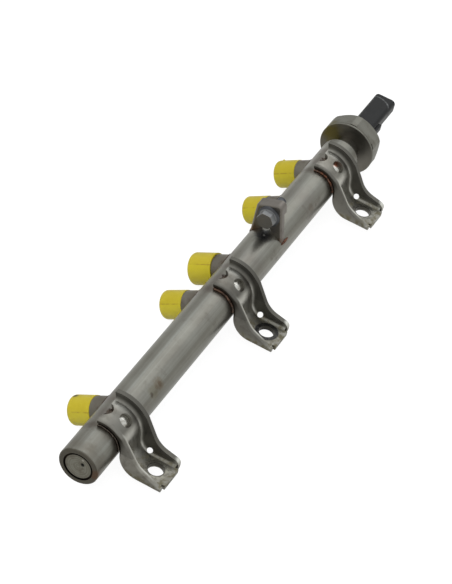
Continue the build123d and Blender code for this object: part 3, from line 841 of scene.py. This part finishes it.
def saddle_bead_points(edge, side, sizes, size, seed):
    """Points of the braze along one edge of a bracket's saddle.

    The middle line follows the tube's surface round X at the edge, and the elliptical section
    swells and thins along it and runs out to nothing at both ends.
    """
    share = np.linspace(0, 1, 110)
    swell = 1 + 0.35 * uneven(share, seed)
    fade = size * np.clip(np.sin(np.pi * share) * 9, 0.03, 1)
    height = sizes.bead_height * (1 + 0.25 * uneven(share, seed + 1)) * fade
    x = edge + side * (0.1 + 0.25 * uneven(share, seed + 2)) * MM
    return tube_bead(x, 0.35 * MM, np.radians(75.0 + share * 97.0),
                     sizes.bead_width * swell * fade, height)


def fill_points(middle):
    """Points of the braze that has risen in a saddle hole.

    A round patch of the tube's surface about the hole's axis, lifted by a height that falls with
    the square of the distance from its middle, which leans towards the foot's side, and rises
    again at the hole's wall with the fourth power. Its lowest ring lies just inside the tube.
    """
    reach = 4.1 * MM
    share = np.array([1.0, 1.0, 0.96, 0.9, 0.8, 0.68, 0.55, 0.42, 0.3, 0.18, 0.07])[:, None]
    sides = turns(48)[None, :]
    lift = 1.7 * MM * (1 - share ** 2) + 0.15 * MM + 0.95 * MM * share ** 4
    lift[0] = -0.3 * MM
    lean = 1 - share
    x = middle - 0.3 * MM * lean + reach * share * np.cos(sides)
    round_tube = (1.2 * MM * lean + reach * share * np.sin(sides)) / TUBE_RADIUS
    return around_tube(x, TUBE_RADIUS + lift, radians(SADDLE_HOLE_ANGLE) + round_tube)


def notch_points(middle, seed):
    """Points of the dark braze in the notch of a saddle's end.

    A flattened bead along the tube's curve, from just past the saddle's end to the notch's deepest
    place, widest halfway and thinned out at both ends.
    """
    share = np.linspace(0, 1, 40)
    fade = np.clip(np.sin(np.pi * (0.06 + 0.88 * share)), 0.03, 1) ** 0.6
    x = middle + NOTCH_OFFSET + 0.25 * MM * uneven(share, seed)
    width = 4.2 * MM * fade * (1 + 0.12 * uneven(share, seed + 5))
    return tube_bead(x, 0.05 * MM, np.radians(73.5 + share * 16.5), width, 0.75 * MM * fade, 22)


def foot_bead_points(start, end, size, seed):
    """Points of a short bead of braze between two places, thickest halfway."""
    share = np.linspace(0, 1, 28)
    path = start + share[:, None] * (end - start)
    fade = np.clip(np.sin(np.pi * share), 0.04, 1) ** 0.5
    swell = size * fade * (1 + 0.2 * uneven(share, seed))
    outward = path - TUBE_AXIS
    outward[:, 0] = 0.0
    return bead(path, outward, swell, swell * 0.8)


# Steps


class RAIL_OT_tube(bpy.types.Operator):
    """Finish the drawn tube and the turned plug in its end"""

    bl_idname = "rail.tube"
    bl_label = "Tube and plug"

    def execute(self, context):
        paint("rail_tube", tube_steel(context.scene.rail_colours))
        paint("end_plug", plug_steel())
        return {"FINISHED"}


class RAIL_OT_brackets(bpy.types.Operator):
    """Finish the three stamped brackets and lay the braze along their saddles"""

    bl_idname = "rail.brackets"
    bl_label = "Brackets and their braze"

    def execute(self, context):
        colours = context.scene.rail_colours
        sizes = context.scene.rail_sizes
        melted = braze_fill()
        # dark braze in the notches, its colour partly painted shade of the notch
        notch_braze = braze_copper("dark notch braze", (0.120, 0.088, 0.066))
        for number, (name, middle) in enumerate(BRACKETS.items()):
            braze, size = BRACKET_LOOKS[name][3:]
            paint("bracket_" + name, bracket_steel(name, middle, colours))
            copper = braze_copper("braze " + name, braze or tuple(colours.braze))
            add_piece("braze_fill_" + name, fill_points(middle), melted)
            points = notch_points(middle, sizes.seed + number)
            add_piece("braze_notch_" + name, points, notch_braze)
            for side, word in ((-1, "near"), (1, "far")):
                edge = middle + side * BRACKET_HALF
                seed = sizes.seed + 10 * number + 3 * side
                points = saddle_bead_points(edge, side, sizes, size, seed + 20)
                add_piece("braze_" + name + "_" + word, points, copper)
        return {"FINISHED"}


class RAIL_OT_fittings(bpy.types.Operator):
    """Finish the five pipe fittings and lay a braze ring round each"""

    bl_idname = "rail.fittings"
    bl_label = "Pipe fittings and their seams"

    def execute(self, context):
        sizes = context.scene.rail_sizes
        steel = metal("turned fitting", (0.185, 0.172, 0.146), (0.115, 0.088, 0.066),
                      (0.28, 0.265, 0.230), (30.0, 420.0, 420.0), (0.34, 0.48), bump=0.2,
                      streak_share=0.35)
        copper = braze_copper("seam braze", (0.075, 0.042, 0.030))
        for number, (name, (along, turn, kind, _)) in enumerate(FITTINGS.items()):
            paint(name + "_fitting", steel)
            points = seam_points(along, turn, kind[0], sizes.seam_radius, sizes.seed + 50 + number)
            add_piece("seam_" + name, points, copper, closed_path=True)
        return {"FINISHED"}


class RAIL_OT_caps(bpy.types.Operator):
    """Put a moulded plastic cap in place of each plain one"""

    bl_idname = "rail.caps"
    bl_label = "Caps"

    def execute(self, context):
        colours = context.scene.rail_colours
        rounding = context.scene.rail_sizes.cap_rounding
        for name, (along, turn, kind, parting) in FITTINGS.items():
            plastic = cap_plastic(colours, name, along, turn, parting)
            points = cap_points(along, turn, kind, rounding, parting)
            piece = add_piece("moulded_cap_" + name, points, plastic)
            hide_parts(name + "_cap")
            if name == "link":
                points = nub_points(along, turn, kind[1], NUB_HEIGHT, NUB_TURN)
                add_piece("cap_nub", points, plastic)
        return {"FINISHED"}


class RAIL_OT_sensor(bpy.types.Operator):
    """Finish the sensor's body, cell, plug body, pins and seal"""

    bl_idname = "rail.sensor"
    bl_label = "Pressure sensor"

    def execute(self, context):
        colours = context.scene.rail_colours
        # painted shade in the groove between the flange and the hexagon
        groove = SENSOR_FACE + 1.5 * MM
        # painted reflection of the yellow cap on the sensor's front face
        cap_reflection = (SENSOR_FACE, AXIS_Y + 12.0 * MM, AXIS_Z + 7.0 * MM)
        # painted highlight on the upper part of the sensor's front face
        flange_top = (SENSOR_FACE, AXIS_Y + 3.0 * MM, AXIS_Z + 12.0 * MM)
        body = metal("sensor steel", (0.190, 0.188, 0.165), (0.13, 0.118, 0.095),
                     (0.30, 0.295, 0.265), (420.0, 30.0, 30.0), (0.36, 0.50), bump=0.16,
                     # painted shade in the groove
                     bands=[(groove, 0.7 * MM, (0.10, 0.085, 0.055), 0.8),
                            (groove - 0.2 * MM, 0.4 * MM, (0.045, 0.040, 0.030), 0.9)],
                     # painted shade and reflection darken the sensor's front face
                     fronts=[(SENSOR_FACE + 0.3 * MM, (0.165, 0.156, 0.137), 0.90)],
                     # painted reflection of the yellow cap
                     spots=[(cap_reflection, 10.0 * MM, (0.15, 0.125, 0.028), 0.8),
                            # painted highlight on the front face's upper part
                            (flange_top, 7.5 * MM, (0.300, 0.275, 0.240), 0.5)],
                     streak_share=0.3)
        paint("sensor_housing", body)
        paint("sensor_cell", metal("cell steel", (0.42, 0.42, 0.41), (0.26, 0.26, 0.25),
                                   (0.55, 0.55, 0.54), (420.0, 30.0, 30.0), (0.24, 0.36)))
        paint("sensor_connector", plug_plastic(colours))
        paint("connector_pins", metal("tinned pins", (0.55, 0.54, 0.50), (0.36, 0.35, 0.32),
                                      (0.70, 0.69, 0.66), (60.0, 900.0, 900.0), (0.22, 0.36)))
        paint("connector_seal", seal_rubber())
        return {"FINISHED"}


class RAIL_OT_holder(bpy.types.Operator):
    """Finish the bolt holder, its bolt and nut, and the braze at the holder's feet"""

    bl_idname = "rail.holder"
    bl_label = "Bolt holder"

    def execute(self, context):
        colours = context.scene.rail_colours
        sizes = context.scene.rail_sizes
        brown = (0.14, 0.075, 0.045)
        even = (300.0, 300.0, 300.0)
        paint("bolt_holder", metal(
            "heat-tinted sheet", (0.200, 0.182, 0.165), (0.120, 0.102, 0.090), (0.28, 0.265, 0.245),
            (160.0, 160.0, 40.0), (0.36, 0.48), bump=0.2, streak_share=0.3,
            # painted light: the front plate is lighter to lift its shade
            fronts=[(HOLDER_FACE + 0.3 * MM, (0.225, 0.208, 0.185), 0.5)],
            spots=[((HOLDER_FACE, 41.0 * MM, 22.0 * MM), 6.2 * MM, brown, 0.7),
                   ((HOLDER_FACE, 23.5 * MM, 21.5 * MM), 5.2 * MM, brown, 0.6)]))
        paint("holder_bolt", metal(
            "blackened bolt", (0.105, 0.108, 0.118), (0.06, 0.06, 0.066), (0.20, 0.21, 0.22),
            even, (0.46, 0.58), bump=0.2, streak_share=0.3,
            fronts=[(BOLT_HEAD_BACK, (0.290, 0.295, 0.300), 0.85),
                    (BOLT_HEAD_FACE, (0.225, 0.214, 0.200), 0.95)]))
        paint("holder_nut", metal("plain nut", (0.20, 0.19, 0.18), (0.11, 0.10, 0.09),
                                  (0.32, 0.31, 0.30), even, (0.38, 0.50)))
        copper = braze_copper("holder braze", tuple(colours.braze))
        for number, (word, degrees) in enumerate((("left", 24.0), ("right", 147.0))):
            start, end = (around_tube(x, TUBE_RADIUS + 0.2 * MM, radians(degrees))
                          for x in (HOLDER_FACE, HOLDER_FACE + 9.0 * MM))
            points = foot_bead_points(start, end, 0.9 * MM, sizes.seed + 80 + number)
            add_piece("braze_holder_" + word, points, copper)
        return {"FINISHED"}


class RAIL_OT_stage(bpy.types.Operator):
    """Lay the floor, hang the lights and set the camera at the photograph's angle"""

    bl_idname = "rail.stage"
    bl_label = "Studio"

    def execute(self, context):
        scene = context.scene
        scene.view_settings.view_transform = "Standard"
        scene.view_settings.look = "None"
        make_floor(tuple(scene.rail_colours.floor))
        make_world(scene)
        for name, settings in LIGHTS.items():
            make_light(name, *settings)
        make_camera(scene)
        return {"FINISHED"}


# Studio


def make_floor(colour):
    """Pale floor below the part that the camera sees as plain white with a faint shadow.

    In the part's reflections it is a plain grey, brighter towards the sensor's end.
    """
    lowest = cad_box[0][2] - FLOOR_DROP
    corners = [(x * FLOOR_REACH, y * FLOOR_REACH, lowest)
               for x, y in ((-1, -1), (1, -1), (1, 1), (-1, 1))]
    mesh = bpy.data.meshes.new("studio_floor")
    mesh.from_pydata(corners, [], [(0, 1, 2, 3)])
    floor = bpy.data.objects.new("studio_floor", mesh)
    bpy.context.scene.collection.objects.link(floor)
    material, here = new_material("studio floor", Roughness=0.9, Specular_IOR_Level=0.0)
    tree = material.node_tree
    surface = tree.nodes["Principled BSDF"]
    shade = blend(noise_at(here, 6.0, 3.0), shaded(colour, 0.99), colour)
    tree.links.new(shade, surface.inputs["Base Color"])
    white = add("Emission", {"Color": (1.0, 1.0, 1.0, 1.0), "Strength": 1.15}, tree)
    grey = add("Emission", {
        "Color": (1.0, 1.0, 0.97, 1.0),
        "Strength": ramp(axes(here)[0], -0.35, 0.35, 0.56, 0.90)})
    paths = add("LightPath", {}, tree).outputs
    seen = add("MixShader", {
        0: product(paths["Is Camera Ray"], 0.80), 1: surface.outputs[0], 2: white.outputs[0]})
    mirrored = add("MixShader", {
        0: paths["Is Glossy Ray"], 1: seen.outputs[0], 2: grey.outputs[0]})
    tree.links.new(mirrored.outputs[0], tree.nodes["Material Output"].inputs["Surface"])
    mesh.materials.append(material)


def make_world(scene):
    """Sky that is white behind the part, a dim grey gradient as a light and a brighter one in the
    part's reflections."""
    world = bpy.data.worlds.new("studio")
    world.use_nodes = True
    scene.world = world
    tree = world.node_tree
    back = tree.nodes["Background"]
    height = axes(add("TexCoord", {}, tree).outputs["Generated"])[2]
    sky = blend(ramp(height, 0.0, 0.9), (0.22, 0.22, 0.225), (0.56, 0.57, 0.58))
    mirrored = blend(ramp(height, 0.05, 0.60), (0.60, 0.60, 0.57), (0.98, 1.0, 1.0))
    paths = add("LightPath", {}, tree).outputs
    sky = blend(paths["Is Glossy Ray"], sky, mirrored)
    tree.links.new(blend(paths["Is Camera Ray"], sky, (1.0, 1.0, 1.0)), back.inputs["Color"])
    back.inputs["Strength"].default_value = 1.0


def make_light(name, spot, width, depth, power, mirrored):
    """Rectangular soft light at a spot, turned to the part, seen in reflections or not."""
    lamp = bpy.data.lights.new(name, "AREA")
    lamp.shape = "RECTANGLE"
    lamp.size = width
    lamp.size_y = depth
    lamp.energy = power
    holder = bpy.data.objects.new(name, lamp)
    holder.visible_glossy = mirrored
    bpy.context.scene.collection.objects.link(holder)
    back = unit(np.array(spot) - np.array(LIGHT_AIM))
    side = unit(np.cross([0.0, 0.0, 1.0], back))
    turn = Matrix(np.stack([side, np.cross(back, side), back], 1).tolist()).to_4x4()
    holder.matrix_world = Matrix.Translation(spot) @ turn


def make_camera(scene):
    """Camera at the photograph's place, turn and lens."""
    lens = bpy.data.cameras.new("photo_camera")
    lens.sensor_fit = "AUTO"
    lens.sensor_width = 36.0
    lens.lens = CAMERA_LENS
    lens.clip_start = 0.05
    lens.clip_end = 200.0
    camera = bpy.data.objects.new("photo_camera", lens)
    scene.collection.objects.link(camera)
    camera.matrix_world = Matrix.Translation(CAMERA_PLACE) @ Matrix(CAMERA_TURN).to_4x4()
    scene.camera = camera


STEPS = (RAIL_OT_tube, RAIL_OT_brackets, RAIL_OT_fittings, RAIL_OT_caps, RAIL_OT_sensor,
         RAIL_OT_holder, RAIL_OT_stage)


class RAIL_PT_finish(bpy.types.Panel):
    """Steps that dress the rail, with its sizes and colours"""

    bl_label = "Fuel Rail"
    bl_idname = "RAIL_PT_finish"
    bl_space_type = "VIEW_3D"
    bl_region_type = "UI"
    bl_category = "Fuel Rail"

    def draw(self, context):
        layout = self.layout
        for step in STEPS:
            layout.operator(step.bl_idname)
        for settings in (context.scene.rail_sizes, context.scene.rail_colours):
            box = layout.box()
            for name in settings.__annotations__:
                box.prop(settings, name)


CLASSES = (RailColours, RailSizes, *STEPS, RAIL_PT_finish)


def register():
    for part in CLASSES:
        bpy.utils.register_class(part)
    bpy.types.Scene.rail_colours = PointerProperty(type=RailColours)
    bpy.types.Scene.rail_sizes = PointerProperty(type=RailSizes)


def unregister():
    del bpy.types.Scene.rail_sizes
    del bpy.types.Scene.rail_colours
    for part in reversed(CLASSES):
        bpy.utils.unregister_class(part)


def main():
    """Run every step in order."""
    register()
    for step in STEPS:
        family, name = step.bl_idname.split(".")
        outcome = getattr(getattr(bpy.ops, family), name)()
        if outcome != {"FINISHED"}:
            raise RuntimeError(step.bl_label + " didn't finish")


if __name__ == "__main__":
    main()
